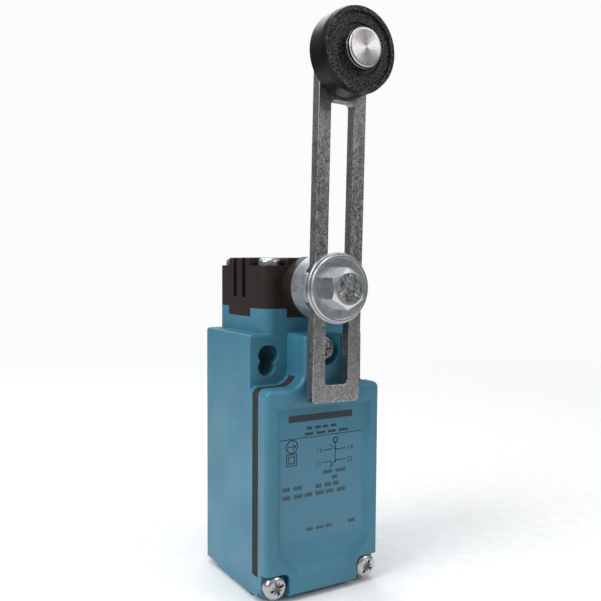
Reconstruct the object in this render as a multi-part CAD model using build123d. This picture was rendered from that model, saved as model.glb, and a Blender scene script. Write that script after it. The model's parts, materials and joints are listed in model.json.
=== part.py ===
"""Side-rotary limit switch with an adjustable roller lever, as an assembly of its real pieces.

Millimetres. X runs across the switch, +Z is up, the cover faces -Y. The origin lies on the
rear mounting face, midway between the two upper mounting slots.
"""
from build123d import *
import math
import os

# Housing and cover
BODY_WIDTH = 30.5
EAR_Y = -24.5
RIM_Y = -25.6
SEAL_Y = -28.5
COVER_Y = -32.4
LEDGE_Z = 4.7
BOTTOM_Z = -55.4
REAR_BOTTOM_Z = -54.0
REAR_FOOT_DEPTH = 7.0
COVER_BOTTOM_Z = -54.2
FOOT_TOP_Z = -49.8
FOOT_BOTTOM_Z = -54.3
SHOULDER_Z = -6.9
TONGUE_WIDTH = 11.0
TONGUE_TOP_Z = 4.9
COLLAR_WALL = 0.8
COLLAR_BOTTOM_Z = -4.8
WALL = 2.8
REAR_WALL = 3.0
CAVITY_TOP_Z = -9.2
CAVITY_BOTTOM_Z = -47.5
CHANNEL_HALF = 3.9
CHANNEL_TOP_Z = -0.6

# Mounting holes through the ears
SLOT_SPACING = 21.0
SLOT_LENGTH = 5.3
HOLE_RADIUS = 2.15
LOBE_SPACING = 22.0
LOBE_DROP = 2.8

# Conduit entry, M20 x 1.5 at its minor diameter
CONDUIT_RADIUS = 9.2
CONDUIT_Y = -12.6

# Neck and head
HEAD_SIZE = 24.0
HEAD_Y = EAR_Y + HEAD_SIZE / 2
HEAD_CORNER = 3.0
NECK_TOP_Z = 10.4
NECK_BORE = 8.9
NECK_FLOOR_Z = 3.4
TAB_HALF = 5.7
TAB_BOTTOM_Z = 8.4
TAB_DEPTH = 2.5
HEAD_LEDGE_Z = 20.3
HEAD_TOP_Z = 22.2
CROSS_HALF = 5.6
HEAD_SCREW_OFFSET = 8.46
BOSS_RADIUS = 7.0
BOSS_Y = -28.7

# Shaft, cam and head plunger
AXIS_Z = 15.45
SHAFT_RADIUS = 4.0
SHAFT_STEP = 3.0
SHAFT_FRONT_Y = -31.6
SHAFT_REAR_Y = -2.9
CAM_RADIUS = 4.4
CAM_FLAT = 3.6
PLUNGER_RADIUS = 2.0
PLUNGER_TOP_Z = 10.95
PLUNGER_END_Z = -1.0
RUNNING_FIT = 0.04

# Lever
LEVER_LEAN = 1.0
PLATE_SHIFT = 0.5
HUB_RADIUS = 7.5
HUB_BACK_Y = -28.9
PLATE_BACK_Y = -34.0
PLATE_THICKNESS = 2.5
PLATE_FRONT_Y = PLATE_BACK_Y - PLATE_THICKNESS
PLATE_WIDTH = 12.4
SLOT_WIDTH = 6.0
SLOT_UP = 40.6
SLOT_DOWN = 21.4
PLATE_DOWN = 25.4
ROLLER_ARM = 50.4
ROLLER_RADIUS = 9.2
ROLLER_WIDTH = 6.0
ROLLER_GAP = 0.2
PIN_RADIUS = 2.5
PIN_HEAD_RADIUS = 4.15
WASHER_RADIUS = 7.5
LOCK_THICKNESS = 0.8
FLAT_THICKNESS = 0.8
BOLT_FLATS = 8.0
BOLT_HEAD = 3.5

# Contact block
BLOCK_HALF = 11.0
BLOCK_FRONT_Y = -19.0
BLOCK_TOP_Z = -10.0
BLOCK_BOTTOM_Z = -41.0
CHAMBER_HALF = 6.3
CHAMBER_TOP_Z = -12.0
CHAMBER_BOTTOM_Z = -39.0
TRAVEL = 2.0
CONTACT_CLEARANCE = 0.03
TIP_HEIGHT = 0.6
TIP_RADIUS = 1.2
TIP_X = 4.5
BRIDGE_THICKNESS = 1.0
UPPER_BRIDGE_Z = -17.5
LOWER_BRIDGE_Z = -31.0
BLADE_THICKNESS = 1.0
TERMINAL_X = 8.6
STEM_RADIUS = 2.5
STEM_BOTTOM_Z = -34.0
BLOCK_SCREW_Z = -25.3

SIDES = (-1, 1)


# ---------------------------------------------------------------- helpers
def block(x0, x1, y0, y1, z0, z1):
    """A box given by its limits."""
    centre = Pos((x0 + x1) / 2, (y0 + y1) / 2, (z0 + z1) / 2)
    return centre * Box(abs(x1 - x0), abs(y1 - y0), abs(z1 - z0))


def rod_y(radius, y0, y1, x=0.0, z=AXIS_Z):
    """A round bar along Y."""
    return Pos(x, (y0 + y1) / 2, z) * Rot(90, 0, 0) * Cylinder(radius, abs(y1 - y0))


def rod_z(radius, z0, z1, x=0.0, y=HEAD_Y):
    """A round bar along Z."""
    return Pos(x, y, (z0 + z1) / 2) * Cylinder(radius, abs(z1 - z0))


def slab(face, y_rear, y_front):
    """A sketch drawn in X and Z, made solid between two depths."""
    return extrude(Plane.XZ.offset(-y_rear) * face, y_rear - y_front)


def column(face, z_low, z_high, y=HEAD_Y):
    """A sketch drawn in X and Y, made solid between two heights."""
    return extrude(Pos(0, y, z_low) * face, z_high - z_low)


def edges_at_y(part, y, tolerance=0.01):
    """The edges of a part that lie wholly in one plane of constant depth."""
    return ShapeList(e for e in part.edges() if abs(e.bounding_box().min.Y - y) < tolerance
                     and abs(e.bounding_box().max.Y - y) < tolerance)


def tee_face(inset=0.0, corner=1.6, inner=3.6):
    """The T outline of the cover: wide below the shoulders, a tongue between the ears."""
    half = BODY_WIDTH / 2 - inset
    tongue = TONGUE_WIDTH / 2 - inset
    shoulder = SHOULDER_Z - inset
    bottom = COVER_BOTTOM_Z + inset
    top = TONGUE_TOP_Z - inset
    wide = Pos(0, (shoulder + bottom) / 2) * RectangleRounded(2 * half, shoulder - bottom, corner)
    overlap = 2 * corner
    stem_height = top - shoulder + overlap
    stem = Pos(0, top - stem_height / 2) * RectangleRounded(2 * tongue, stem_height, corner * 0.6)
    face = wide + stem
    roots = [v for v in face.vertices()
             if abs(abs(v.X) - tongue) < 0.01 and abs(v.Y - shoulder) < 0.01]
    return fillet(roots, inner + inset)


def pan_screw(head_radius, head_height, shank_radius, length):
    """A pan head screw with a star recess, head upwards, its seat at the origin."""
    head = Pos(0, 0, head_height / 2) * Cylinder(head_radius, head_height)
    head = fillet(head.edges().group_by(Axis.Z)[-1], head_height * 0.55)
    shank = Pos(0, 0, -length / 2) * Cylinder(shank_radius, length)
    shank = chamfer(shank.edges().group_by(Axis.Z)[0], shank_radius * 0.35)
    screw = head + shank
    depth = head_height * 0.65
    for angle in (0, 90):
        screw -= Pos(0, 0, head_height) * Rot(0, 0, angle) * Box(
            head_radius * 1.25, head_radius * 0.26, 2 * depth)
    for angle in (45, 135):
        screw -= Pos(0, 0, head_height) * Rot(0, 0, angle) * Box(
            head_radius * 0.95, head_radius * 0.12, depth)
    return screw


def facing_front(part, x, y, z, turn=0.0):
    """Turn a part built upwards so that its top faces the cover side, and place it."""
    return Pos(x, y, z) * Rot(90, 0, 0) * Rot(0, 0, turn) * part


def coil(radius, wire, z_low, z_high, turns, y=HEAD_Y):
    """A compression spring between two seats."""
    height = z_high - z_low - 2 * wire - 0.04
    path = Helix(height / turns, height, radius)
    profile = Plane(origin=path @ 0, z_dir=path % 0) * Circle(wire)
    return Pos(0, y, z_low + wire + 0.02) * sweep(profile, path=path, is_frenet=True)


def leaned(part, shift=0.0):
    """Turn a part of the lever about the shaft by the lever's lean at rest."""
    return Pos(0, 0, AXIS_Z) * Rot(0, LEVER_LEAN, 0) * Pos(shift, 0, -AXIS_Z) * part


def head_screw_places():
    """The four screw positions of the square head."""
    return [(sx * HEAD_SCREW_OFFSET, HEAD_Y + sy * HEAD_SCREW_OFFSET)
            for sx in SIDES for sy in SIDES]


COVER_SCREWS = [(-12.3, -51.5, -30.0), (12.3, -51.5, -30.0), (0.0, 1.5, -30.0)]


# ---------------------------------------------------------------- housing and cover
def ear_openings():
    """The two-lobed mounting openings, through from the rear face to the ears."""
    openings = []
    for side in SIDES:
        slot = Pos(side * SLOT_SPACING / 2, 0) * SlotOverall(SLOT_LENGTH, 2 * HOLE_RADIUS)
        lobe = Pos(side * LOBE_SPACING / 2, -LOBE_DROP) * Circle(HOLE_RADIUS)
        openings.append(slab(slot, 0.5, RIM_Y - 0.5))
        openings.append(slab(lobe, 0.5, RIM_Y - 0.5))
    return openings


def tongue_collar():
    """The wall that stands round the tongue, outside the gasket."""
    wall = slab(tee_face() - tee_face(COLLAR_WALL), RIM_Y + 0.5, SEAL_Y)
    return wall & block(-20, 20, RIM_Y + 1, SEAL_Y - 1, COLLAR_BOTTOM_Z, TONGUE_TOP_Z + 1)


def make_housing():
    half = BODY_WIDTH / 2
    shell = block(-half, half, EAR_Y, 0, BOTTOM_Z, LEDGE_Z)
    upright = shell.edges().filter_by(Axis.Z).group_by(Axis.Y)[-1]
    shell = fillet(upright, 1.2)
    shell = fillet(shell.edges().group_by(Axis.Z)[-1], 0.8)
    shell -= block(-half - 1, half + 1, -REAR_FOOT_DEPTH, 1, BOTTOM_Z - 1, REAR_BOTTOM_Z)
    side_feet = shell.edges().filter_by(Axis.Y).group_by(Axis.Z)[0]
    shell = chamfer(side_feet, 0.7)
    shell += slab(tee_face(), EAR_Y + 0.5, RIM_Y)
    # A foot under the cover carries the lower screws, and a collar closes the tongue's sides.
    shell += block(-half, half, SEAL_Y, EAR_Y, FOOT_BOTTOM_Z, FOOT_TOP_Z)
    shell += tongue_collar()

    neck = column(RectangleRounded(HEAD_SIZE, HEAD_SIZE, HEAD_CORNER), LEDGE_Z - 1, NECK_TOP_Z)
    neck -= tab_blocks(0.05, TAB_BOTTOM_Z - 0.05, NECK_TOP_Z + 1)
    shell += neck

    front = RIM_Y - 1
    inner = half - WALL
    shell -= block(-inner, inner, front, -REAR_WALL, CAVITY_BOTTOM_Z, CAVITY_TOP_Z)
    shell -= block(-CHANNEL_HALF, CHANNEL_HALF, front, -REAR_WALL, CAVITY_TOP_Z - 1, CHANNEL_TOP_Z)
    shell -= rod_z(NECK_BORE, NECK_FLOOR_Z, NECK_TOP_Z + 1)
    shell -= rod_z(3.5, CHANNEL_TOP_Z - 1, NECK_FLOOR_Z + 1)
    shell -= rod_z(CONDUIT_RADIUS, BOTTOM_Z - 1, CAVITY_BOTTOM_Z + 1, y=CONDUIT_Y)
    for opening in ear_openings():
        shell -= opening
    for x, y in head_screw_places():
        shell -= rod_z(1.45, 1.9, NECK_TOP_Z + 1, x, y)
    for x, z, _ in COVER_SCREWS:
        shell -= rod_y(1.5, -19.0, SEAL_Y - 1, x, z)
    shell += rod_y(3.0, -REAR_WALL + 0.5, -8.0, 8.0, -44.2)
    shell -= rod_y(1.75, -3.4, -9.0, 8.0, -44.2)
    for side in SIDES:
        shell -= rod_y(1.5, -0.9, -REAR_WALL - 0.5, side * TERMINAL_X, BLOCK_SCREW_Z)
    return shell


def make_cover_gasket():
    flush = slab(tee_face(0.2), RIM_Y, SEAL_Y)
    gasket = flush & block(-20, 20, RIM_Y + 1, SEAL_Y - 1, FOOT_TOP_Z + 0.02, COLLAR_BOTTOM_Z - 0.02)
    gasket += slab(tee_face(COLLAR_WALL + 0.03), RIM_Y, SEAL_Y) & block(
        -20, 20, RIM_Y + 1, SEAL_Y - 1, SHOULDER_Z - 1, TONGUE_TOP_Z)
    inner = BODY_WIDTH / 2 - WALL
    gasket -= block(-inner + 0.5, inner - 0.5, RIM_Y + 1, SEAL_Y - 1, CAVITY_BOTTOM_Z + 0.5, CAVITY_TOP_Z)
    gasket -= block(-CHANNEL_HALF + 0.3, CHANNEL_HALF - 0.3, RIM_Y + 1, SEAL_Y - 1,
                    CAVITY_TOP_Z - 1, CHANNEL_TOP_Z - 0.8)
    for x, z, _ in COVER_SCREWS:
        gasket -= rod_y(1.6, RIM_Y + 1, SEAL_Y - 1, x, z)
    return gasket


def panel_face(half, top, low, cut):
    """An outline of the sunken front panel, whose lower corners step round the screws."""
    points = [(-half, top), (half, top), (half, low + cut), (half - cut, low),
              (-half + cut, low), (-half, low + cut)]
    return fillet(make_face(Polyline(*points, close=True)).vertices(), 0.8)


def make_cover():
    cover = slab(tee_face(), SEAL_Y, COVER_Y)
    cover = fillet(edges_at_y(cover, COVER_Y), 1.1)
    # Hollow back, and a sunken front panel whose walls slope, most of all along its foot.
    hollow = RectangleRounded(BODY_WIDTH - 6.8, SHOULDER_Z - COVER_BOTTOM_Z - 6.8, 1.2)
    cover -= slab(Pos(0, (SHOULDER_Z + COVER_BOTTOM_Z) / 2) * hollow, SEAL_Y + 1, SEAL_Y - 1)
    panel_y = COVER_Y + 0.9
    floor = Plane.XZ.offset(-panel_y) * panel_face(11.5, -11.5, -47.5, 4.9)
    rim = Plane.XZ.offset(-COVER_Y) * panel_face(12.7, -10.3, -49.6, 5.2)
    cover -= loft([floor, rim])
    # Recess for the upper screw, open at the top of the tongue.
    _, screw_z, seat = COVER_SCREWS[2]
    cover -= rod_y(3.7, seat, COVER_Y - 1, 0, screw_z)
    cover -= block(-3.7, 3.7, COVER_Y - 1, seat, screw_z, TONGUE_TOP_Z + 1)
    # Stepped lower corners for the two lower screws.
    for side in SIDES:
        notch = block(side * 9.1, side * 16, COVER_Y - 1, COVER_SCREWS[0][2], COVER_BOTTOM_Z - 1, -48.5)
        inner = notch.edges().filter_by(Axis.Y).sort_by(lambda e: abs(e.center().X) - e.center().Z)[0]
        cover -= fillet([inner], 1.8)
    for x, z, _ in COVER_SCREWS:
        cover -= rod_y(1.6, SEAL_Y + 1, COVER_Y - 1, x, z)
    return cover


def make_cover_screws():
    screw = pan_screw(2.8, 2.2, 1.42, 9.5)
    return [facing_front(screw, x, seat, z, turn=18 + 40 * i)
            for i, (x, z, seat) in enumerate(COVER_SCREWS)]


# ---------------------------------------------------------------- head
def tab_blocks(clearance, z_low, z_high):
    """Four blocks, one centred on each side of the head, that key it to the neck."""
    half = HEAD_SIZE / 2
    depth = TAB_DEPTH + clearance
    width = TAB_HALF + clearance
    tabs = block(-half, -half + depth, HEAD_Y - width, HEAD_Y + width, z_low, z_high)
    tabs += block(half - depth, half, HEAD_Y - width, HEAD_Y + width, z_low, z_high)
    tabs += block(-width, width, HEAD_Y - half, HEAD_Y - half + depth, z_low, z_high)
    tabs += block(-width, width, HEAD_Y + half - depth, HEAD_Y + half, z_low, z_high)
    return tabs


def make_head_body():
    half = HEAD_SIZE / 2
    square = RectangleRounded(HEAD_SIZE, HEAD_SIZE, HEAD_CORNER)
    head = column(square, NECK_TOP_Z, HEAD_LEDGE_Z)
    cross = block(-half, half, HEAD_Y - CROSS_HALF, HEAD_Y + CROSS_HALF, HEAD_LEDGE_Z - 1, HEAD_TOP_Z)
    cross += block(-CROSS_HALF, CROSS_HALF, HEAD_Y - half, HEAD_Y + half, HEAD_LEDGE_Z - 1, HEAD_TOP_Z)
    cross = chamfer(cross.edges().group_by(Axis.Z)[-1], 0.3)
    head += cross
    head += tab_blocks(0.0, TAB_BOTTOM_Z, NECK_TOP_Z + 0.5)
    head += rod_z(NECK_BORE - 0.05, 7.0, NECK_TOP_Z + 0.5)
    boss = rod_y(BOSS_RADIUS, EAR_Y + 1, BOSS_Y)
    head += chamfer(edges_at_y(boss, BOSS_Y), 0.5)

    # Twin grooves with a rib between them on the left, right and rear faces.
    for offset in (-2.3, 2.3):
        for side in SIDES:
            head -= block(side * (half - 1.2), side * (half + 1), HEAD_Y + offset - 0.85,
                          HEAD_Y + offset + 0.85, 12.8, HEAD_TOP_Z + 1)
        head -= block(offset - 0.85, offset + 0.85, HEAD_Y + half - 1.2, HEAD_Y + half + 1,
                      12.8, HEAD_TOP_Z + 1)

    head -= block(-6.6, 6.6, HEAD_Y - 7.2, HEAD_Y + 7.2, NECK_TOP_Z - 0.2, HEAD_LEDGE_Z - 0.1)
    head -= rod_z(7.4, 6, NECK_TOP_Z + 0.5)
    head -= rod_y(5.0, HEAD_Y - 7.0, BOSS_Y - 1)
    head -= rod_y(SHAFT_STEP + RUNNING_FIT, HEAD_Y + 7.0, SHAFT_REAR_Y + 0.3)
    for x, y in head_screw_places():
        head -= rod_z(1.5, 5, HEAD_LEDGE_Z + 1, x, y)
    groove = rod_z(NECK_BORE + 0.1, 7.9, 9.3)
    groove -= rod_z(NECK_BORE - 0.75, 7.5, 9.7)
    return head - (groove & rod_z(NECK_BORE, 7.0, 10.0))


def make_head_oring():
    ring = Torus(NECK_BORE - 0.37, 0.34)
    return Pos(0, HEAD_Y, 8.6) * ring


def make_head_screws():
    screw = pan_screw(2.65, 1.75, 1.4, 18.0)
    return [Pos(x, y, HEAD_LEDGE_Z) * Rot(0, 0, 20 + 65 * i) * screw
            for i, (x, y) in enumerate(head_screw_places())]


def make_shaft_bush():
    bush = rod_y(4.98, HEAD_Y - 7.3, -27.0)
    return bush - rod_y(SHAFT_RADIUS + RUNNING_FIT, 0, -40)


def make_shaft_seal():
    seal = rod_y(4.98, -27.1, BOSS_Y + 0.2) - rod_y(SHAFT_RADIUS + 0.02, 0, -40)
    lip_gap = rod_y(4.6, -27.9, BOSS_Y - 1) - rod_y(SHAFT_RADIUS + 0.25, 0, -40)
    return seal - lip_gap


def make_operating_shaft():
    shaft = rod_y(SHAFT_RADIUS, SHAFT_FRONT_Y, -18.0)
    shaft += rod_y(SHAFT_STEP, -18.5, SHAFT_REAR_Y)
    shaft = chamfer(edges_at_y(shaft, SHAFT_REAR_Y), 0.4)
    shaft -= rod_y(SHAFT_RADIUS + 1, -18.9, -19.5) - rod_y(3.5, 0, -40)
    # Tapped hole for the lever bolt and cross hole for the cam pin.
    shaft -= rod_y(2.5, SHAFT_FRONT_Y - 1, -20.0)
    shaft -= rod_z(0.8, AXIS_Z - 5, AXIS_Z + 5)
    return shaft


def make_cam():
    cam = rod_y(CAM_RADIUS, HEAD_Y - 3, HEAD_Y + 3) - rod_y(SHAFT_STEP + 0.01, 0, -40)
    cam -= block(-6, 6, -30, 0, AXIS_Z - 6, AXIS_Z - CAM_FLAT)
    return cam - rod_z(0.8, AXIS_Z - 5, AXIS_Z + 5)


def make_cam_pin():
    return rod_z(0.78, AXIS_Z - 3.5, AXIS_Z + 4.2)


def make_shaft_clip():
    clip = rod_y(4.65, -19.0, -19.4) - rod_y(3.52, 0, -40)
    return clip - block(-2.4, 2.4, -30, 0, AXIS_Z - 6, AXIS_Z)


def make_head_plunger():
    plunger = rod_z(PLUNGER_RADIUS, PLUNGER_END_Z, PLUNGER_TOP_Z - 0.5)
    cap = rod_z(5.0, PLUNGER_TOP_Z - 1.5, PLUNGER_TOP_Z)
    return plunger + chamfer(cap.edges().group_by(Axis.Z)[-1], 0.4)


def make_plunger_guide():
    guide = rod_z(3.48, CHANNEL_TOP_Z, NECK_FLOOR_Z + 0.1)
    guide += rod_z(5.2, NECK_FLOOR_Z, NECK_FLOOR_Z + 0.8)
    guide -= rod_z(PLUNGER_RADIUS + RUNNING_FIT, -5, 10)
    return guide - rod_z(2.9, CHANNEL_TOP_Z - 1, CHANNEL_TOP_Z + 1.0)


def make_plunger_seal():
    return rod_z(2.88, CHANNEL_TOP_Z, CHANNEL_TOP_Z + 0.98) - rod_z(PLUNGER_RADIUS + 0.02, -5, 5)


def make_return_spring():
    return coil(3.3, 0.35, NECK_FLOOR_Z + 0.8, PLUNGER_TOP_Z - 1.5, 4)


# ---------------------------------------------------------------- lever
def make_lever_hub():
    hub = rod_y(HUB_RADIUS, HUB_BACK_Y, PLATE_BACK_Y - 1.5)
    hub = chamfer(edges_at_y(hub, HUB_BACK_Y), 0.4)
    channel = PLATE_WIDTH / 2 + PLATE_SHIFT + 0.05
    hub -= block(-channel, channel, PLATE_BACK_Y, PLATE_BACK_Y - 5, AXIS_Z - 10, AXIS_Z + 10)
    hub -= rod_y(2.55, 0, -40)
    return hub - rod_y(SHAFT_RADIUS + 0.03, HUB_BACK_Y + 1, SHAFT_FRONT_Y - 0.05)


def make_lever_plate():
    half = PLATE_WIDTH / 2
    top = ROLLER_ARM + half
    height = top + PLATE_DOWN
    outline = Pos(0, AXIS_Z + top - height / 2) * Rectangle(PLATE_WIDTH, height)
    outline = fillet(outline.vertices().group_by(Axis.Y)[-1], half - 0.01)
    outline = fillet(outline.vertices().group_by(Axis.Y)[0], 0.9)
    plate = slab(outline, PLATE_BACK_Y, PLATE_FRONT_Y)
    slot_height = SLOT_UP + SLOT_DOWN
    slot = Pos(0, AXIS_Z + (SLOT_UP - SLOT_DOWN) / 2) * RectangleRounded(SLOT_WIDTH, slot_height, 1.0)
    plate -= slab(slot, PLATE_BACK_Y + 1, PLATE_FRONT_Y - 1)
    plate = fillet(edges_at_y(plate, PLATE_FRONT_Y), 0.2)
    return plate - rod_y(PIN_RADIUS - 0.3, 0, -50, z=AXIS_Z + ROLLER_ARM)


def make_lock_washer():
    front = PLATE_FRONT_Y - LOCK_THICKNESS
    washer = rod_y(WASHER_RADIUS + 0.4, PLATE_FRONT_Y, front) - rod_y(2.6, 0, -50)
    return fillet(edges_at_y(washer, front).sort_by(SortBy.RADIUS)[-1], 0.25)


def make_flat_washer():
    back = PLATE_FRONT_Y - LOCK_THICKNESS
    front = back - FLAT_THICKNESS
    washer = rod_y(WASHER_RADIUS, back, front)
    rim = edges_at_y(washer, front)
    washer = chamfer(rim, 0.25)
    # The face is dished slightly inside the rim.
    washer -= rod_y(WASHER_RADIUS - 0.75, front + 0.12, front - 1)
    return washer - rod_y(2.6, 0, -50)


def make_lever_bolt():
    seat = PLATE_FRONT_Y - LOCK_THICKNESS - FLAT_THICKNESS + 0.12
    tip = seat - BOLT_HEAD
    hexagon = RegularPolygon(BOLT_FLATS / 2, 6, major_radius=False, rotation=30)
    head = slab(Pos(0, AXIS_Z) * hexagon, seat, tip)
    corner = BOLT_FLATS / math.sqrt(3)
    cone = Cone(corner + BOLT_HEAD * 1.4, corner - 1.07, BOLT_HEAD)
    cone = Pos(0, (seat + tip) / 2, AXIS_Z) * Rot(90, 0, 0) * cone
    head &= cone
    mark = block(-0.25, 0.25, tip + 0.2, tip - 0.12, AXIS_Z + 1.7, AXIS_Z + 3.0)
    for angle in (0, 120, 240):
        head += Pos(0, 0, AXIS_Z) * Rot(0, angle, 0) * Pos(0, 0, -AXIS_Z) * mark
    shank = rod_y(2.45, seat - 0.5, -21.0)
    return head + chamfer(edges_at_y(shank, -21.0), 0.5)


def roller_y():
    """Rear and front faces of the roller."""
    rear = PLATE_FRONT_Y - ROLLER_GAP
    return rear, rear - ROLLER_WIDTH


def make_roller():
    rear, front = roller_y()
    z = AXIS_Z + ROLLER_ARM
    roller = rod_y(ROLLER_RADIUS, rear, front, z=z)
    roller = chamfer(edges_at_y(roller, front), 1.3, 0.35)
    roller = fillet(edges_at_y(roller, rear), 0.4)
    for face, away in ((front, -1), (rear, 1)):
        sunk = rod_y(ROLLER_RADIUS - 1.4, face - away * 0.5, face + away, z=z)
        sunk -= rod_y(5.6, face - away, face + 2 * away, z=z)
        ring = rod_y(5.6, face - away * 0.9, face + away, z=z)
        ring -= rod_y(3.9, face - away * 2, face + 2 * away, z=z)
        roller -= sunk
        roller -= ring
        roller -= rod_y(3.9, face - away * 0.5, face + away, z=z)
    return roller - rod_y(PIN_RADIUS + RUNNING_FIT, 0, -60, z=z)


def make_roller_pin():
    rear, front = roller_y()
    z = AXIS_Z + ROLLER_ARM
    head_seat = front + 0.45
    head_front = front - 1.9
    head = rod_y(PIN_HEAD_RADIUS, head_seat, head_front, z=z)
    head = fillet(edges_at_y(head, head_front), 0.5)
    # A turned neck behind the head.
    neck = rod_y(PIN_HEAD_RADIUS + 1, front - 0.7, front - 0.9, z=z)
    head -= neck - rod_y(PIN_HEAD_RADIUS - 0.15, 0, -60, z=z)
    body = rod_y(PIN_RADIUS, PLATE_FRONT_Y, head_seat - 0.1, z=z)
    tail = rod_y(PIN_RADIUS - 0.32, PLATE_BACK_Y + 0.3, PLATE_FRONT_Y - 0.1, z=z)
    return head + body + tail


def make_roller_washer():
    rear, _ = roller_y()
    z = AXIS_Z + ROLLER_ARM
    washer = rod_y(5.0, PLATE_FRONT_Y, rear + 0.05, z=z)
    return washer - rod_y(PIN_RADIUS + 0.02, 0, -60, z=z)


# ---------------------------------------------------------------- contact block
UPPER_FIXED_Z = UPPER_BRIDGE_Z + TIP_HEIGHT + CONTACT_CLEARANCE
LOWER_FIXED_Z = LOWER_BRIDGE_Z - TIP_HEIGHT - TRAVEL - CONTACT_CLEARANCE


def blade_limits(upper):
    """Bottom and top of a terminal's blade, which carries its fixed contact."""
    if upper:
        low = UPPER_FIXED_Z + TIP_HEIGHT
        return low, low + BLADE_THICKNESS
    high = LOWER_FIXED_Z - TIP_HEIGHT
    return high - BLADE_THICKNESS, high


def pad_limits(upper):
    """Bottom and top of a terminal's screw pad."""
    low, high = blade_limits(upper)
    if upper:
        return high - 6.2, high
    return low, low + 6.2


def make_terminal(side, upper):
    low, high = blade_limits(upper)
    pad_low, pad_high = pad_limits(upper)
    blade = block(side * 3.2, side * 10.4, -14.2, -10.8, low, high)
    pad = block(side * 6.7, side * 10.4, -15.2, -14.1, pad_low, pad_high)
    hole = rod_y(1.6, -10, -20, side * TERMINAL_X, (pad_low + pad_high) / 2)
    return blade + pad - hole


def make_block_case():
    case = block(-BLOCK_HALF, BLOCK_HALF, BLOCK_FRONT_Y, -REAR_WALL, BLOCK_BOTTOM_Z, BLOCK_TOP_Z)
    case = chamfer(case.edges().filter_by(Axis.Y), 0.8)
    case -= block(-CHAMBER_HALF, CHAMBER_HALF, BLOCK_FRONT_Y - 1, -7.0, CHAMBER_BOTTOM_Z, CHAMBER_TOP_Z)
    case -= rod_z(STEM_RADIUS + RUNNING_FIT, CHAMBER_TOP_Z - 1, BLOCK_TOP_Z + 1)
    for upper in (True, False):
        low, high = blade_limits(upper)
        pad_low, pad_high = pad_limits(upper)
        for side in SIDES:
            case -= block(side * 6.0, side * 10.45, -14.25, -10.75, low - 0.05, high + 0.05)
            case -= block(side * 6.65, side * 12, BLOCK_FRONT_Y - 1, -14.1, pad_low - 0.3, pad_high + 0.3)
            case -= rod_y(1.45, -6.5, -20, side * TERMINAL_X, (pad_low + pad_high) / 2)
    for side in SIDES:
        case -= rod_y(1.6, 0, -20, side * TERMINAL_X, BLOCK_SCREW_Z)
        case -= rod_y(2.15, -16.0, -20, side * TERMINAL_X, BLOCK_SCREW_Z)
    return case


def make_block_cover():
    cover = block(-CHAMBER_HALF + 0.02, CHAMBER_HALF - 0.02, BLOCK_FRONT_Y + 0.2, BLOCK_FRONT_Y + 1.4,
                  CHAMBER_BOTTOM_Z + 0.02, CHAMBER_TOP_Z - 0.02)
    return chamfer(edges_at_y(cover, BLOCK_FRONT_Y + 0.2), 0.25)


def make_block_plunger():
    stem = rod_z(STEM_RADIUS, STEM_BOTTOM_Z, PLUNGER_END_Z - 0.05)
    stem = chamfer(stem.edges().group_by(Axis.Z)[-1], 0.4)
    for low, high in ((-23.5, UPPER_BRIDGE_Z), (LOWER_BRIDGE_Z, -25.5)):
        stem -= block(-4, 4, HEAD_Y - 1.5, HEAD_Y + 1.5, low, high)
    return stem


def make_bridge(z_low):
    bridge = block(-5.8, 5.8, HEAD_Y - 1.45, HEAD_Y + 1.45, z_low, z_low + BRIDGE_THICKNESS)
    return fillet(bridge.edges().filter_by(Axis.Z), 0.5)


def make_tips(faces):
    """Contact rivet tips, one per (height of the lower face) on each side."""
    return [rod_z(TIP_RADIUS, z, z + TIP_HEIGHT, side * TIP_X) for z in faces for side in SIDES]


def make_contact_springs():
    upper = coil(1.05, 0.2, -23.5, UPPER_BRIDGE_Z - BRIDGE_THICKNESS, 5)
    lower = coil(1.05, 0.2, LOWER_BRIDGE_Z + BRIDGE_THICKNESS, -25.5, 5)
    return [upper, lower]


def make_block_spring():
    return coil(1.75, 0.25, CHAMBER_BOTTOM_Z, STEM_BOTTOM_Z, 4)


def terminal_places():
    """Screw centre of each terminal: x and z."""
    places = []
    for upper in (True, False):
        low, high = pad_limits(upper)
        places += [(side * TERMINAL_X, (low + high) / 2) for side in SIDES]
    return places


def make_terminal_screws():
    screw = pan_screw(1.95, 1.7, 1.4, 7.5)
    return [facing_front(screw, x, -16.0, z, turn=25 * i) for i, (x, z) in enumerate(terminal_places())]


def make_clamp_washers():
    washers = []
    for x, z in terminal_places():
        side = math.copysign(1, x)
        plate = block(x - side * 1.8, x + side * 1.8, -15.2, -16.0, z - 1.9, z + 1.9)
        washers.append(plate - rod_y(1.5, 0, -30, x, z))
    return washers


def make_block_screws():
    screw = pan_screw(2.1, 1.9, 1.42, 14.8)
    return [facing_front(screw, side * TERMINAL_X, -16.0, BLOCK_SCREW_Z, turn=30) for side in SIDES]


def make_earth_washer():
    return rod_y(3.0, -8.0, -8.8, 8.0, -44.2) - rod_y(1.8, 0, -20, 8.0, -44.2)


def make_earth_screw():
    return facing_front(pan_screw(2.8, 2.1, 1.7, 5.0), 8.0, -8.8, -44.2, turn=10)


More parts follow.
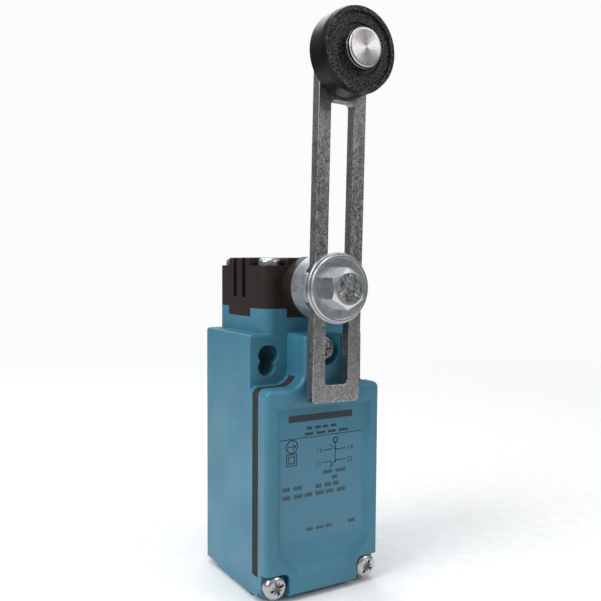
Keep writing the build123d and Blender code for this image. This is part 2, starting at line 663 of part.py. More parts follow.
# ---------------------------------------------------------------- export
PARTS = {
    "housing": make_housing(),
    "cover": make_cover(),
    "cover_gasket": make_cover_gasket(),
    "cover_screws": make_cover_screws(),
    "head_body": make_head_body(),
    "head_oring": make_head_oring(),
    "head_screws": make_head_screws(),
    "shaft_bush": make_shaft_bush(),
    "shaft_seal": make_shaft_seal(),
    "shaft_clip": make_shaft_clip(),
    "operating_shaft": make_operating_shaft(),
    "cam": make_cam(),
    "cam_pin": make_cam_pin(),
    "head_plunger": make_head_plunger(),
    "plunger_guide": make_plunger_guide(),
    "plunger_seal": make_plunger_seal(),
    "return_spring": make_return_spring(),
    "lever_hub": make_lever_hub(),
    "lever_plate": make_lever_plate(),
    "lock_washer": make_lock_washer(),
    "flat_washer": make_flat_washer(),
    "lever_bolt": make_lever_bolt(),
    "roller": make_roller(),
    "roller_pin": make_roller_pin(),
    "roller_washer": make_roller_washer(),
    "block_case": make_block_case(),
    "block_cover": make_block_cover(),
    "block_plunger": make_block_plunger(),
    "bridge_nc": make_bridge(UPPER_BRIDGE_Z - BRIDGE_THICKNESS),
    "bridge_no": make_bridge(LOWER_BRIDGE_Z),
    "moving_contacts": make_tips([UPPER_BRIDGE_Z, LOWER_BRIDGE_Z - TIP_HEIGHT]),
    "fixed_contacts": make_tips([UPPER_FIXED_Z, LOWER_FIXED_Z - TIP_HEIGHT]),
    "contact_springs": make_contact_springs(),
    "block_spring": make_block_spring(),
    "terminal_21": make_terminal(-1, True),
    "terminal_22": make_terminal(1, True),
    "terminal_13": make_terminal(-1, False),
    "terminal_14": make_terminal(1, False),
    "terminal_screws": make_terminal_screws(),
    "clamp_washers": make_clamp_washers(),
    "block_screws": make_block_screws(),
    "earth_washer": make_earth_washer(),
    "earth_screw": make_earth_screw(),
}

# Clamped to the shaft, and carried by the plate, which sits to one side of its play on the bolt.
HUB_NODES = ("lever_hub", "lock_washer", "flat_washer", "lever_bolt")
PLATE_NODES = ("lever_plate", "roller", "roller_pin", "roller_washer")

os.makedirs("parts", exist_ok=True)
for name, shape in PARTS.items():
    solids = shape if isinstance(shape, list) else shape.solids()
    if name in HUB_NODES:
        solids = [leaned(solid) for solid in solids]
    if name in PLATE_NODES:
        solids = [leaned(solid, PLATE_SHIFT) for solid in solids]
    result = solids[0]
    if len(solids) > 1:
        result = Compound(children=[Solid(solid.solids()[0].wrapped) for solid in solids])
    export_step(result, f"parts/{name}.step")
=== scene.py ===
import json
import math

import bmesh
import bpy
from mathutils import Matrix, Vector


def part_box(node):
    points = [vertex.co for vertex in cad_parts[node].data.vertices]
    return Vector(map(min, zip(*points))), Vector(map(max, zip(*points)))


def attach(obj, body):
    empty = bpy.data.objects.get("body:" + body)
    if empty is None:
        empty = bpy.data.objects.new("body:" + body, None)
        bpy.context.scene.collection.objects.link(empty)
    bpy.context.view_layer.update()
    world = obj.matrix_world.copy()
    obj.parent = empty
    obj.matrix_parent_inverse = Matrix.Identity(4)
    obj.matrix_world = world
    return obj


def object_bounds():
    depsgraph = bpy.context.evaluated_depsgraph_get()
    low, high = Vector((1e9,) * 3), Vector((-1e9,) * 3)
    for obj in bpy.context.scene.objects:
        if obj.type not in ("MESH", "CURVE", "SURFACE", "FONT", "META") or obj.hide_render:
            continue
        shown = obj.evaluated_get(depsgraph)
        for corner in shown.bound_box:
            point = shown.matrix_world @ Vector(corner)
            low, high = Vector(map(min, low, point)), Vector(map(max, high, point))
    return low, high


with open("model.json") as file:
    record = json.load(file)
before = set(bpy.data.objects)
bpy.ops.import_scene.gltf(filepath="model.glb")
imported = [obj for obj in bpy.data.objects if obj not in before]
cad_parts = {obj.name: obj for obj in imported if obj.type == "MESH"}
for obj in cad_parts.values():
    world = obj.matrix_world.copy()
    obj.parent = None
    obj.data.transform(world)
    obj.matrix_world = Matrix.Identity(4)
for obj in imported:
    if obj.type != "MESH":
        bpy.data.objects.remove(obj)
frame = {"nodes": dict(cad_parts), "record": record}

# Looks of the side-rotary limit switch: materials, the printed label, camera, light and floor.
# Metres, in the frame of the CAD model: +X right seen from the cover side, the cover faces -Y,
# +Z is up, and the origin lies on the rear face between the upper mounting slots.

MM = 0.001

cad_low, cad_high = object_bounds()
nodes = frame["nodes"]


# ---------------------------------------------------------------- building materials
class Surface:
    """One procedural material, built by short calls. Lengths are in metres, colours are linear."""

    def __init__(self, name, roughness=0.5, metallic=0.0):
        self.material = bpy.data.materials.new(name)
        self.material.use_nodes = True
        self.tree = self.material.node_tree
        self.shader = self.tree.nodes["Principled BSDF"]
        self.place = self.add("TexCoord").outputs["Object"]
        self.normal = None
        self.set("Roughness", roughness)
        self.set("Metallic", metallic)

    def add(self, kind, inputs=None, **settings):
        """A node with its settings; each input is a plain value or another node's socket."""
        node = self.tree.nodes.new("ShaderNode" + kind)
        for key, value in settings.items():
            setattr(node, key, value)
        for key, value in (inputs or {}).items():
            self.put(node.inputs[key], value)
        return node

    def put(self, socket, value):
        """Gives a socket a plain value, or links another node's socket to it."""
        if isinstance(value, bpy.types.NodeSocket):
            self.tree.links.new(value, socket)
        else:
            socket.default_value = value

    def set(self, name, value):
        """One input of the surface shader."""
        self.put(self.shader.inputs[name], value)

    def maths(self, operation, first, second=0.0):
        """One step of arithmetic on numbers or sockets."""
        return self.add("Math", {0: first, 1: second}, operation=operation).outputs[0]

    def span(self, value, low, high, to_low=0.0, to_high=1.0):
        """value, eased from low..high to to_low..to_high and held at its ends."""
        inputs = {"Value": value, "From Min": low, "From Max": high, "To Min": to_low, "To Max": to_high}
        return self.add("MapRange", inputs, interpolation_type="SMOOTHSTEP").outputs["Result"]

    def mix(self, factor, first, second):
        """A colour from first at factor 0 to second at factor 1."""
        colours = {"Color1": rgba(first), "Color2": rgba(second)}
        return self.add("MixRGB", {"Fac": factor, **colours}).outputs["Color"]

    def scaled(self, size, stretch):
        """The place on the object, counted in features about size across."""
        scale = tuple(1.0 / (size * s) for s in stretch)
        return self.add("Mapping", {"Vector": self.place, "Scale": scale}).outputs["Vector"]

    def noise(self, size, detail=3.0, stretch=(1, 1, 1)):
        """Smooth noise, 0 to 1, with features about size across, longer where it is stretched."""
        inputs = {"Vector": self.scaled(size, stretch), "Scale": 1.0, "Detail": detail}
        return self.add("TexNoise", inputs).outputs["Fac"]

    def patches(self, size, detail=3.0, levels=(0.3, 0.7), to=(0.0, 1.0), stretch=(1, 1, 1)):
        """Noise, eased from its two levels to the two values in to."""
        return self.span(self.noise(size, detail, stretch), *levels, *to)

    def cells(self, size, stretch=(1, 1, 1)):
        """A random value, 0 to 1, for each cell of a grain about size across."""
        inputs = {"Vector": self.scaled(size, stretch), "Scale": 1.0}
        colour = self.add("TexVoronoi", inputs).outputs["Color"]
        return self.add("SeparateColor", {"Color": colour}).outputs[0]

    def rings(self, centre, pitch):
        """Turned grooves about an axis along Y through centre, 0 to 1."""
        place = self.add("Mapping", {"Vector": self.place, "Location": -centre}).outputs["Vector"]
        inputs = {"Vector": place, "Scale": math.pi / (10 * pitch)}
        settings = {"wave_type": "RINGS", "rings_direction": "Y"}
        return self.add("TexWave", inputs, **settings).outputs["Fac"]

    def near_axis(self, centre, radius):
        """1 within radius of an axis along Y through centre, and 0 outside it."""
        spot = (centre.x, 0.0, centre.z)
        flat = self.add("VectorMath", {0: self.place, 1: (1, 0, 1)}, operation="MULTIPLY").outputs[0]
        distance = self.add("VectorMath", {0: flat, 1: spot}, operation="DISTANCE").outputs["Value"]
        return self.span(distance, radius, radius * 0.97)

    def facing_y(self):
        """1 on faces square to the Y axis, and 0 on faces along it."""
        normal = self.add("NewGeometry").outputs["Normal"]
        across = self.add("SeparateXYZ", {"Vector": normal}).outputs["Y"]
        return self.span(self.maths("ABSOLUTE", across), 0.8, 0.95)

    def edge(self, radius, strength):
        """strength along sharp edges, easing to 0 on the flats about radius away."""
        rounded = self.add("Bevel", {"Radius": radius}, samples=6).outputs["Normal"]
        flat = self.add("NewGeometry").outputs["Normal"]
        dot = self.add("VectorMath", {0: rounded, 1: flat}, operation="DOT_PRODUCT").outputs["Value"]
        return self.maths("MULTIPLY", self.span(dot, 0.995, 0.86), strength)

    def soften(self, radius):
        """Shades edges as if rounded to radius."""
        self.normal = self.add("Bevel", {"Radius": radius}, samples=6).outputs["Normal"]
        self.set("Normal", self.normal)

    def bump(self, height, depth):
        """Raises the surface by depth where height is 1, on top of any earlier relief."""
        inputs = {"Height": height, "Distance": depth}
        if self.normal:
            inputs["Normal"] = self.normal
        self.normal = self.add("Bump", inputs).outputs["Normal"]
        self.set("Normal", self.normal)


def rgba(colour):
    """A colour triple as the four numbers a socket takes; a socket passes unchanged."""
    if isinstance(colour, bpy.types.NodeSocket):
        return colour
    return (*colour, 1.0)


def shaded(colour, factor):
    """A colour made lighter or darker."""
    return tuple(min(1.0, c * factor) for c in colour)


def centre_of(node):
    """The middle of a CAD node's box."""
    low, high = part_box(node)
    return (Vector(low) + Vector(high)) / 2


# ---------------------------------------------------------------- materials
def enamel(name, colour):
    """Semi-gloss enamel sprayed over a die casting: orange peel, cast grain, and thin pale edges that are
    partly rubbed paint and partly a painted edge highlight.
    """
    surface = Surface(name)
    drift = surface.patches(14 * MM, detail=4)
    body = surface.mix(drift, shaded(colour, 0.92), shaded(colour, 1.08))
    fleck = surface.patches(0.35 * MM, detail=2, levels=(0.56, 0.72), to=(0.0, 0.35))
    body = surface.mix(fleck, body, shaded(colour, 1.35))
    # Pale edges: partly rubbed paint, partly a painted highlight along the edges.
    wear_and_highlight = surface.patches(2.2 * MM, detail=5, levels=(0.35, 0.65), to=(0.25, 0.95))
    pale_edge = surface.edge(0.35 * MM, wear_and_highlight)
    surface.set("Base Color", surface.mix(pale_edge, body, shaded(colour, 1.9)))
    surface.set("Roughness", surface.patches(9 * MM, detail=3, to=(0.36, 0.5)))
    surface.set("Specular IOR Level", 0.55)
    surface.soften(0.25 * MM)
    surface.bump(surface.noise(1.3 * MM, detail=2), 0.03 * MM)
    surface.bump(surface.noise(0.3 * MM, detail=2), 0.006 * MM)
    return surface.material


def moulded(name, colour, roughness, pale_edge=1.8):
    """Moulded plastic with a spark-eroded grain and uneven sheen.

    Its edges are lighter than the rest by the given factor: a painted edge highlight.
    """
    surface = Surface(name)
    surface.set("Specular IOR Level", 0.35)
    drift = surface.patches(6 * MM, detail=4)
    body = surface.mix(drift, shaded(colour, 0.85), shaded(colour, 1.2))
    # Painted highlight along the edges.
    edge = surface.edge(0.3 * MM, 0.6)
    surface.set("Base Color", surface.mix(edge, body, shaded(colour, pale_edge)))
    sheen = surface.patches(2.5 * MM, detail=4, to=(roughness - 0.07, roughness + 0.08))
    surface.set("Roughness", sheen)
    surface.soften(0.2 * MM)
    surface.bump(surface.noise(0.25 * MM, detail=3), 0.012 * MM)
    return surface.material


def sparked_roller(name, colour):
    """The roller's moulding: a smooth running surface, end faces with a painted sparkle of pale glints on
    the grain, and a painted rim highlight.
    """
    surface = Surface(name)
    surface.set("Specular IOR Level", 0.22)
    ends = surface.facing_y()
    grain = surface.noise(0.34 * MM, detail=2)
    # Painted sparkle: pale glints on the grain peaks, on the end faces only.
    tips = surface.maths("MULTIPLY", surface.span(grain, 0.46, 0.62), ends)
    drift = surface.patches(5 * MM, detail=4)
    body = surface.mix(drift, shaded(colour, 0.7), shaded(colour, 1.3))
    body = surface.mix(tips, body, shaded(colour, 26.0))
    # Painted highlight along the rims and edges.
    edge = surface.edge(0.25 * MM, 0.5)
    surface.set("Base Color", surface.mix(edge, body, shaded(colour, 14.0)))
    surface.set("Roughness", surface.span(ends, 0.0, 1.0, 0.34, 0.5))
    surface.soften(0.15 * MM)
    surface.bump(surface.maths("MULTIPLY", grain, ends), 0.02 * MM)
    return surface.material


def rubber(name, colour):
    """Matt sealing rubber with a dusty bloom."""
    surface = Surface(name, roughness=0.85)
    bloom = surface.patches(1.5 * MM, detail=5, levels=(0.45, 0.75), to=(0.0, 0.5))
    surface.set("Base Color", surface.mix(bloom, colour, shaded(colour, 2.0)))
    surface.bump(surface.noise(0.2 * MM), 0.02 * MM)
    return surface.material


def zinc_sheet(name, dull, bright):
    """Zinc plated sheet: a fine crystal grain under large soft brownish patches, with a painted highlight
    along its edges.
    """
    surface = Surface(name, metallic=1.0)
    grain = surface.cells(0.22 * MM, stretch=(1, 1, 1.5))
    fine = surface.noise(0.16 * MM, detail=3, stretch=(1, 1, 1.6))
    coarse_half = surface.maths("MULTIPLY", grain, 0.5)
    fine_half = surface.maths("MULTIPLY", fine, 0.5)
    mottle = surface.maths("ADD", coarse_half, fine_half)
    body = surface.mix(surface.span(mottle, 0.2, 0.8), dull, bright)
    streak = surface.patches(0.9 * MM, detail=3, levels=(0.35, 0.65), to=(0.0, 0.35), stretch=(1, 1, 9))
    body = surface.mix(streak, body, dull)
    brown_patches = surface.patches(9 * MM, detail=4, levels=(0.38, 0.68), to=(0.0, 0.5), stretch=(1, 1, 1.8))
    body = surface.mix(brown_patches, body, (0.3, 0.27, 0.225))
    # Painted highlight along the edges.
    edge = surface.edge(0.35 * MM, 0.7)
    surface.set("Base Color", surface.mix(edge, body, (0.78, 0.79, 0.8)))
    surface.set("Roughness", surface.span(mottle, 0.2, 0.8, 0.28, 0.48))
    surface.soften(0.15 * MM)
    surface.bump(fine, 0.003 * MM)
    surface.bump(grain, 0.001 * MM)
    return surface.material


def bright_zinc(name, colour, roughness=0.26, forged=0.0):
    """Bright passivated zinc on bolts, screws and washers: faint tumbling marks, a warm cast and a painted
    highlight along the edges.

    Within the forged radius of the shaft's axis the face is left darker and mottled.
    """
    surface = Surface(name, metallic=1.0)
    cast = surface.patches(3.5 * MM, detail=4, levels=(0.4, 0.75), to=(0.0, 0.7))
    body = surface.mix(cast, colour, (colour[0] * 0.96, colour[1] * 0.93, colour[2] * 0.86))
    if forged:
        inside = surface.near_axis(centre_of("operating_shaft"), forged)
        crust = surface.patches(0.8 * MM, detail=3, levels=(0.35, 0.62))
        body = surface.mix(inside, body, surface.mix(crust, shaded(colour, 0.3), shaded(colour, 1.15)))
    scuff = surface.patches(0.9 * MM, detail=3, levels=(0.5, 0.72), to=(0.0, 0.25))
    body = surface.mix(scuff, body, shaded(colour, 0.78))
    # Painted highlight along the edges.
    edge = surface.edge(0.2 * MM, 0.35)
    surface.set("Base Color", surface.mix(edge, body, (0.88, 0.88, 0.87)))
    rough = (roughness - 0.03, roughness + 0.08)
    surface.set("Roughness", surface.patches(1.2 * MM, detail=4, levels=(0.3, 0.75), to=rough))
    surface.soften(0.15 * MM)
    surface.bump(surface.noise(0.4 * MM, detail=2), 0.0015 * MM)
    return surface.material


def cast_metal(name, colour):
    """Bare zinc die casting, tumbled smooth and a little dull, with a painted highlight along its edges.
    """
    surface = Surface(name, metallic=1.0)
    drift = surface.patches(2.5 * MM, detail=5)
    body = surface.mix(drift, shaded(colour, 0.82), shaded(colour, 1.12))
    # Painted highlight along the edges.
    edge = surface.edge(0.3 * MM, 0.7)
    surface.set("Base Color", surface.mix(edge, body, shaded(colour, 1.6)))
    surface.set("Roughness", surface.patches(0.8 * MM, detail=4, to=(0.42, 0.6)))
    surface.soften(0.25 * MM)
    surface.bump(surface.noise(0.35 * MM, detail=3), 0.012 * MM)
    return surface.material


def turned_metal(name, colour, centre, pitch):
    """Metal turned on a lathe: concentric grooves about an axis along Y, with a fan-shaped sheen and a
    painted highlight along its edges.
    """
    surface = Surface(name, metallic=1.0)
    grooves = surface.rings(centre, pitch)
    broad = surface.rings(centre, pitch * 3.7)
    body = surface.mix(surface.maths("MULTIPLY", broad, 0.35), colour, shaded(colour, 0.75))
    # Painted highlight along the edges.
    edge = surface.edge(0.25 * MM, 0.7)
    surface.set("Base Color", surface.mix(edge, body, (0.9, 0.9, 0.89)))
    surface.set("Roughness", surface.patches(0.9 * MM, detail=4, to=(0.24, 0.38)))
    surface.set("Anisotropic", 0.85)
    surface.set("Tangent", surface.add("Tangent", direction_type="RADIAL", axis="Y").outputs[0])
    surface.soften(0.12 * MM)
    surface.bump(grooves, 0.0015 * MM)
    return surface.material


def drawn_metal(name, colour, roughness, stretch=(1, 12, 1)):
    """Drawn or pressed metal for the inner parts, with fine streaks one way."""
    surface = Surface(name, metallic=1.0)
    streak = surface.noise(0.25 * MM, detail=4, stretch=stretch)
    tarnish = surface.patches(3 * MM, detail=4, levels=(0.4, 0.7), to=(0.0, 0.5))
    body = surface.mix(surface.span(streak, 0.3, 0.7), shaded(colour, 0.85), shaded(colour, 1.1))
    surface.set("Base Color", surface.mix(tarnish, body, shaded(colour, 0.62)))
    surface.set("Roughness", surface.span(streak, 0.3, 0.7, roughness - 0.06, roughness + 0.1))
    surface.bump(streak, 0.004 * MM)
    return surface.material


def ink(name, colour, strength):
    """Screen-printed ink, thin enough in places for the paint below to tint it."""
    surface = Surface(name)
    thin = surface.patches(0.5 * MM, detail=4, levels=(0.4, 0.75), to=(0.0, 1.0 - strength))
    surface.set("Base Color", surface.mix(thin, colour, PAINT))
    surface.set("Roughness", surface.patches(2 * MM, to=(0.42, 0.55)))
    surface.bump(surface.noise(1.3 * MM, detail=2), 0.03 * MM)
    return surface.material


PAINT = (0.04, 0.18, 0.265)
PIN_AXIS = centre_of("roller_pin")

MATERIALS = {
    "blue_paint_housing": enamel("blue_enamel_housing", PAINT),
    "blue_paint_cover": enamel("blue_enamel_cover", shaded(PAINT, 0.96)),
    "gasket_rubber": rubber("gasket_rubber", (0.02, 0.0155, 0.015)),
    "zinc_screws": bright_zinc("screw_zinc", (0.5, 0.51, 0.52)),
    "head_plastic": moulded("head_plastic", (0.014, 0.008, 0.0065), 0.5),
    "bronze": drawn_metal("sintered_bronze", (0.6, 0.4, 0.2), 0.45, stretch=(1, 1, 1)),
    "spring_steel": drawn_metal("spring_steel", (0.3, 0.3, 0.32), 0.35),
    "ground_steel": drawn_metal("ground_steel", (0.62, 0.62, 0.62), 0.25, stretch=(12, 1, 12)),
    "cam_steel": drawn_metal("cam_steel", (0.42, 0.4, 0.38), 0.45, stretch=(1, 1, 1)),
    "white_plastic": moulded("acetal", (0.72, 0.7, 0.63), 0.42, pale_edge=1.1),
    "cast_zinc": cast_metal("cast_zinc", (0.43, 0.45, 0.47)),
    "zinc_plate": zinc_sheet("zinc_sheet", (0.14, 0.145, 0.15), (0.49, 0.5, 0.515)),
    "zinc_bolt": bright_zinc("bolt_zinc", (0.62, 0.64, 0.66), roughness=0.27, forged=3.3 * MM),
    "roller_plastic": sparked_roller("roller_plastic", (0.0035, 0.0032, 0.0033)),
    "turned_steel": turned_metal("turned_steel", (0.54, 0.52, 0.51), PIN_AXIS, 0.16 * MM),
    "block_plastic": moulded("block_thermoset", (0.05, 0.05, 0.055), 0.5),
    "block_cover_plastic": moulded("block_cover_plastic", (0.3, 0.29, 0.26), 0.45, pale_edge=1.3),
    "contact_brass": drawn_metal("contact_brass", (0.72, 0.52, 0.22), 0.3),
    "silver_tips": drawn_metal("silver_tips", (0.82, 0.81, 0.78), 0.25, stretch=(1, 1, 1)),
}
WASHER_ZINC = bright_zinc("washer_zinc", (0.5, 0.53, 0.54), roughness=0.3)
OWN_FINISH = {"lock_washer": WASHER_ZINC, "flat_washer": WASHER_ZINC}


def dress_frame():
    """Gives every CAD node the material of its slot in the record."""
    for part in frame["record"]["subparts"]:
        node = nodes[part["node"]]
        node.data.materials.clear()
        node.data.materials.append(OWN_FINISH.get(part["node"], MATERIALS[part["material_slot"]]))


# ---------------------------------------------------------------- printed label
# Lengths given with MM are in metres. All others here, and every place in the print, are
# millimetres across and up the panel.
PANEL_SINK = 0.9 * MM
INK_LIFT = 0.012 * MM
INK_THICKNESS = 0.01 * MM
LINE_WIDTH = 0.22
RING_SIDES = 28
WORD_GAP = 0.55
SHORT_WORD = 0.86
NUMBER_HEIGHT = 1.7 * MM
RULE_Z = -18.4
FIELD_FOOT_Z = -42.0
PANEL_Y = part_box("cover")[0][1] + PANEL_SINK


def bar(x0, x1, z, height):
    """A printed bar, as one outline in millimetres on the panel."""
    return [(x0, z - height / 2), (x1, z - height / 2), (x1, z + height / 2), (x0, z + height / 2)]


def stroke(start, end, width):
    """A printed straight line with square ends."""
    along = (Vector(end) - Vector(start)).normalized() * width / 2
    side = Vector((-along.y, along.x))
    a, b = Vector(start) - along, Vector(end) + along
    return [tuple(a - side), tuple(b - side), tuple(b + side), tuple(a + side)]


def path(*points, width=LINE_WIDTH):
    """Strokes from each point to the next."""
    return [stroke(p, q, width) for p, q in zip(points, points[1:])]


def ring(x, z, radius):
    """A printed circle line, as short straight strokes."""
    angles = [2 * math.pi * i / RING_SIDES for i in range(RING_SIDES + 1)]
    return path(*[(x + radius * math.cos(a), z + radius * math.sin(a)) for a in angles])


def square(x, z, half):
    """A printed square line."""
    corners = [(x + half * sx, z + half * sz) for sx, sz in ((-1, -1), (1, -1), (1, 1), (-1, 1), (-1, -1))]
    return path(*corners)


def greeked(x0, x1, z, height, word=2.3):
    """A row of bars, each about one word long, where the real label has a line of small print."""
    count = max(1, round((x1 - x0 + WORD_GAP) / (word + WORD_GAP)))
    width = (x1 - x0 + WORD_GAP) / count - WORD_GAP
    rows = []
    for i in range(count):
        start = x0 + i * (width + WORD_GAP)
        shown = width if i % 2 else width * SHORT_WORD
        rows.append(bar(start, start + shown, z, height))
    return rows


def contact_diagram():
    """One closing and one opening contact worked by a roller, as circuit diagrams show them."""
    rows = ring(3.4, -19.8, 0.6)
    rows += path((3.4, -20.5), (3.4, -25.0))
    rows += path((1.9, -20.8), (3.3, -21.8))
    rows += path((-0.2, -21.85), (2.4, -21.85))
    rows += path((3.3, -22.0), (6.1, -22.0))
    rows += path((0.0, -24.7), (2.2, -24.7), (2.2, -26.0))
    rows += path((3.5, -24.6), (6.1, -24.6))
    rows += path((2.0, -25.9), (3.6, -24.6))
    return rows


def protection_symbols():
    """A square inside a square, and a ringed arrow: the plain marks of double insulation and opening."""
    rows = square(-8.4, -23.1, 1.3) + square(-8.4, -23.1, 0.75)
    rows += ring(-8.3, -20.1, 1.45)
    rows += path((-9.2, -20.1), (-7.5, -20.1))
    rows += path((-8.1, -19.5), (-7.4, -20.1), (-8.1, -20.7))
    return rows


def printed(name, outlines, material, lift):
    """Outlines on the front panel, as thin raised print that rides on the case."""
    mesh = bmesh.new()
    front = PANEL_Y - lift - INK_THICKNESS
    for outline in outlines:
        corners = [mesh.verts.new((x * MM, front, z * MM)) for x, z in outline]
        face = mesh.faces.new(corners)
        walls = bmesh.ops.extrude_face_region(mesh, geom=[face])
        moved = [v for v in walls["geom"] if isinstance(v, bmesh.types.BMVert)]
        bmesh.ops.translate(mesh, verts=moved, vec=(0, INK_THICKNESS, 0))
    bmesh.ops.recalc_face_normals(mesh, faces=mesh.faces)
    return piece(name, mesh, material, "case")


def piece(name, mesh, material, body):
    """A finished bmesh as a piece of the object, riding on a CAD body."""
    data = bpy.data.meshes.new(name)
    mesh.to_mesh(data)
    mesh.free()
    data.materials.append(material)
    made = bpy.data.objects.new(name, data)
    bpy.context.scene.collection.objects.link(made)
    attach(made, body)
    return made


def terminal_numbers(material, lift):
    """The four terminal numbers that every such contact block carries."""
    places = {"13": (-1.25, -21.85), "14": (7.5, -22.0), "21": (-1.25, -24.9), "22": (7.4, -24.9)}
    mesh = bmesh.new()
    for digits, (x, z) in places.items():
        text = bpy.data.curves.new("number_" + digits, "FONT")
        text.body = digits
        text.size = NUMBER_HEIGHT
        text.extrude = INK_THICKNESS / 2
        text.align_x = "CENTER"
        text.align_y = "CENTER"
        holder = bpy.data.objects.new("number_" + digits, text)
        drawn = bpy.data.meshes.new_from_object(holder)
        upright = Matrix.Rotation(math.pi / 2, 4, "X")
        drawn.transform(Matrix.Translation((x * MM, PANEL_Y - lift, z * MM)) @ upright)
        mesh.from_mesh(drawn)
        bpy.data.objects.remove(holder)
        bpy.data.meshes.remove(drawn)
    return piece("label_numbers", mesh, material, "case")


def make_label():
    """Plain bars for all wording, the usual symbols, and the contact diagram with its numbers."""
    field = bar(-11.3, 11.1, (RULE_Z + FIELD_FOOT_Z) / 2, RULE_Z - FIELD_FOOT_Z)
    printed("label_field", [field], ink("label_field_print", (0.062, 0.192, 0.277), 0.9), INK_LIFT)
    dark = ink("label_ink", (0.012, 0.02, 0.026), 0.9)
    faint = ink("label_faint_ink", (0.03, 0.055, 0.07), 0.6)
    top = INK_LIFT + 2 * INK_THICKNESS
    rows = [bar(-9.2, 8.0, -13.9, 1.5)]
    rows += greeked(-4.9, 6.8, -17.6, 0.55)
    rows += path((-11.2, RULE_Z), (11.1, RULE_Z), width=0.16)
    printed("label_heading", rows, dark, top)
    rows = greeked(-4.4, 3.6, -16.3, 0.6, word=1.8)
    rows += contact_diagram() + protection_symbols()
    printed("label_diagram", rows, dark, top)
    rows = greeked(0.1, 6.3, -27.0, 0.8) + [bar(2.5, 4.0, -28.5, 0.8)]
    rows += greeked(-10.7, -5.6, -29.7, 0.9) + greeked(-2.0, 4.7, -30.0, 0.9)
    rows += greeked(-10.7, 6.2, -31.6, 0.9)
    rows += greeked(-4.4, 2.9, -39.7, 0.7) + [bar(7.1, 9.1, -39.6, 0.8)]
    printed("label_small_print", rows, faint, top)
    terminal_numbers(dark, top)


# ---------------------------------------------------------------- camera, light and floor
TARGET = (cad_low + cad_high) / 2
FLOOR_RADIUS = 0.6
FLOOR_GAP = 0.05 * MM
FADE_FROM = 0.12
FADE_TO = 0.55
CAMERA_PLACE = (-0.09094, -0.17137, 0.02065)
CAMERA_YAW = 31.13
CAMERA_PITCH = -3.70
CAMERA_ROLL = 0.37
CAMERA_LENS = 44.16
CAMERA_SHIFT = (0.0011, 0.0192)


def make_camera():
    """A camera left of the cover, at the height of the head and looking slightly down."""
    data = bpy.data.cameras.new("camera")
    data.sensor_width = 36.0
    data.lens = CAMERA_LENS
    data.shift_x, data.shift_y = CAMERA_SHIFT
    data.clip_start = 0.01
    data.clip_end = 20.0
    camera = bpy.data.objects.new("camera", data)
    turn = Matrix.Rotation(math.radians(-CAMERA_YAW), 4, "Z")
    tilt = Matrix.Rotation(math.radians(90 + CAMERA_PITCH), 4, "X")
    roll = Matrix.Rotation(math.radians(CAMERA_ROLL), 4, "Z")
    camera.matrix_world = Matrix.Translation(CAMERA_PLACE) @ turn @ tilt @ roll
    bpy.context.scene.collection.objects.link(camera)
    bpy.context.scene.camera = camera


def softbox(name, place, size, power):
    """A square area light at a place round the object, aimed at the middle of the object."""
    data = bpy.data.lights.new(name, "AREA")
    data.size = size
    data.energy = power
    light = bpy.data.objects.new(name, data)
    light.location = TARGET + Vector(place)
    light.rotation_euler = (-Vector(place)).to_track_quat("-Z", "Y").to_euler()
    bpy.context.scene.collection.objects.link(light)


def make_light():
    softbox("key_light", (-0.62, -0.08, 0.45), 0.45, 3.6)
    softbox("front_light", (0.42, -0.62, 0.5), 0.3, 1.6)
    softbox("top_light", (-0.1, -0.12, 0.75), 0.4, 1.6)
    softbox("back_light", (0.15, 0.6, 0.6), 0.5, 2.2)


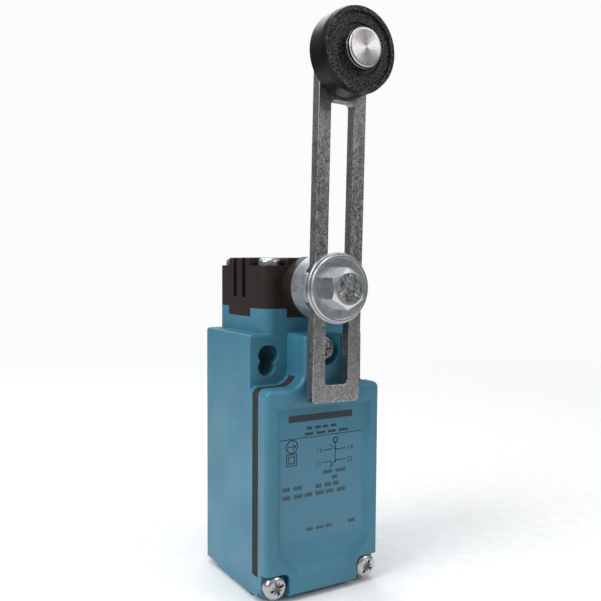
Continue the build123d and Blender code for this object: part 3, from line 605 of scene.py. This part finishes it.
def make_world():
    """A near-white backdrop for the camera, and a dimmer room that the metals reflect."""
    world = bpy.data.worlds.new("world")
    world.use_nodes = True
    tree = world.node_tree
    place = tree.nodes.new("ShaderNodeTexCoord").outputs["Generated"]
    height = tree.nodes.new("ShaderNodeSeparateXYZ")
    tree.links.new(place, height.inputs[0])
    room = tree.nodes.new("ShaderNodeValToRGB")
    room.color_ramp.elements[0].color = (0.12, 0.115, 0.11, 1)
    room.color_ramp.elements[0].position = 0.42
    room.color_ramp.elements[1].color = (0.45, 0.47, 0.49, 1)
    room.color_ramp.elements[1].position = 0.8
    lifted = tree.nodes.new("ShaderNodeMapRange")
    lifted.inputs["From Min"].default_value = -1.0
    tree.links.new(height.outputs["Z"], lifted.inputs["Value"])
    tree.links.new(lifted.outputs["Result"], room.inputs["Fac"])
    seen = tree.nodes.new("ShaderNodeLightPath").outputs["Is Camera Ray"]
    shown = tree.nodes.new("ShaderNodeMixRGB")
    tree.links.new(seen, shown.inputs["Fac"])
    tree.links.new(room.outputs["Color"], shown.inputs["Color1"])
    shown.inputs["Color2"].default_value = (0.97, 0.97, 0.97, 1)
    background = tree.nodes["Background"]
    background.inputs["Strength"].default_value = 1.0
    tree.links.new(shown.outputs["Color"], background.inputs["Color"])
    bpy.context.scene.world = world


def floor_material():
    """Pale matt floor that fades into the backdrop, and isn't there when seen from below."""
    surface = Surface("pale_floor", roughness=0.9)
    speck = surface.patches(4 * MM, detail=4)
    surface.set("Base Color", surface.mix(speck, (0.88, 0.88, 0.875), (0.92, 0.92, 0.915)))
    distance = surface.add("VectorMath", {0: surface.place}, operation="LENGTH").outputs["Value"]
    far = surface.span(distance, FADE_FROM, FADE_TO)
    below = surface.add("NewGeometry").outputs["Backfacing"]
    hidden = surface.maths("MAXIMUM", far, below)
    clear = surface.add("BsdfTransparent").outputs[0]
    blend = surface.add("MixShader", {0: hidden, 1: surface.shader.outputs[0], 2: clear})
    output = surface.tree.nodes["Material Output"]
    surface.tree.links.new(blend.outputs[0], output.inputs["Surface"])
    return surface.material


def make_floor():
    """A round floor just under the switch."""
    mesh = bmesh.new()
    bmesh.ops.create_circle(mesh, cap_ends=True, segments=64, radius=FLOOR_RADIUS)
    data = bpy.data.meshes.new("floor")
    mesh.to_mesh(data)
    mesh.free()
    data.materials.append(floor_material())
    floor = bpy.data.objects.new("floor", data)
    floor.location = (TARGET.x, TARGET.y, cad_low.z - FLOOR_GAP)
    bpy.context.scene.collection.objects.link(floor)


dress_frame()
make_label()
make_camera()
make_light()
make_world()
make_floor()
bpy.context.scene.view_settings.view_transform = "Standard"
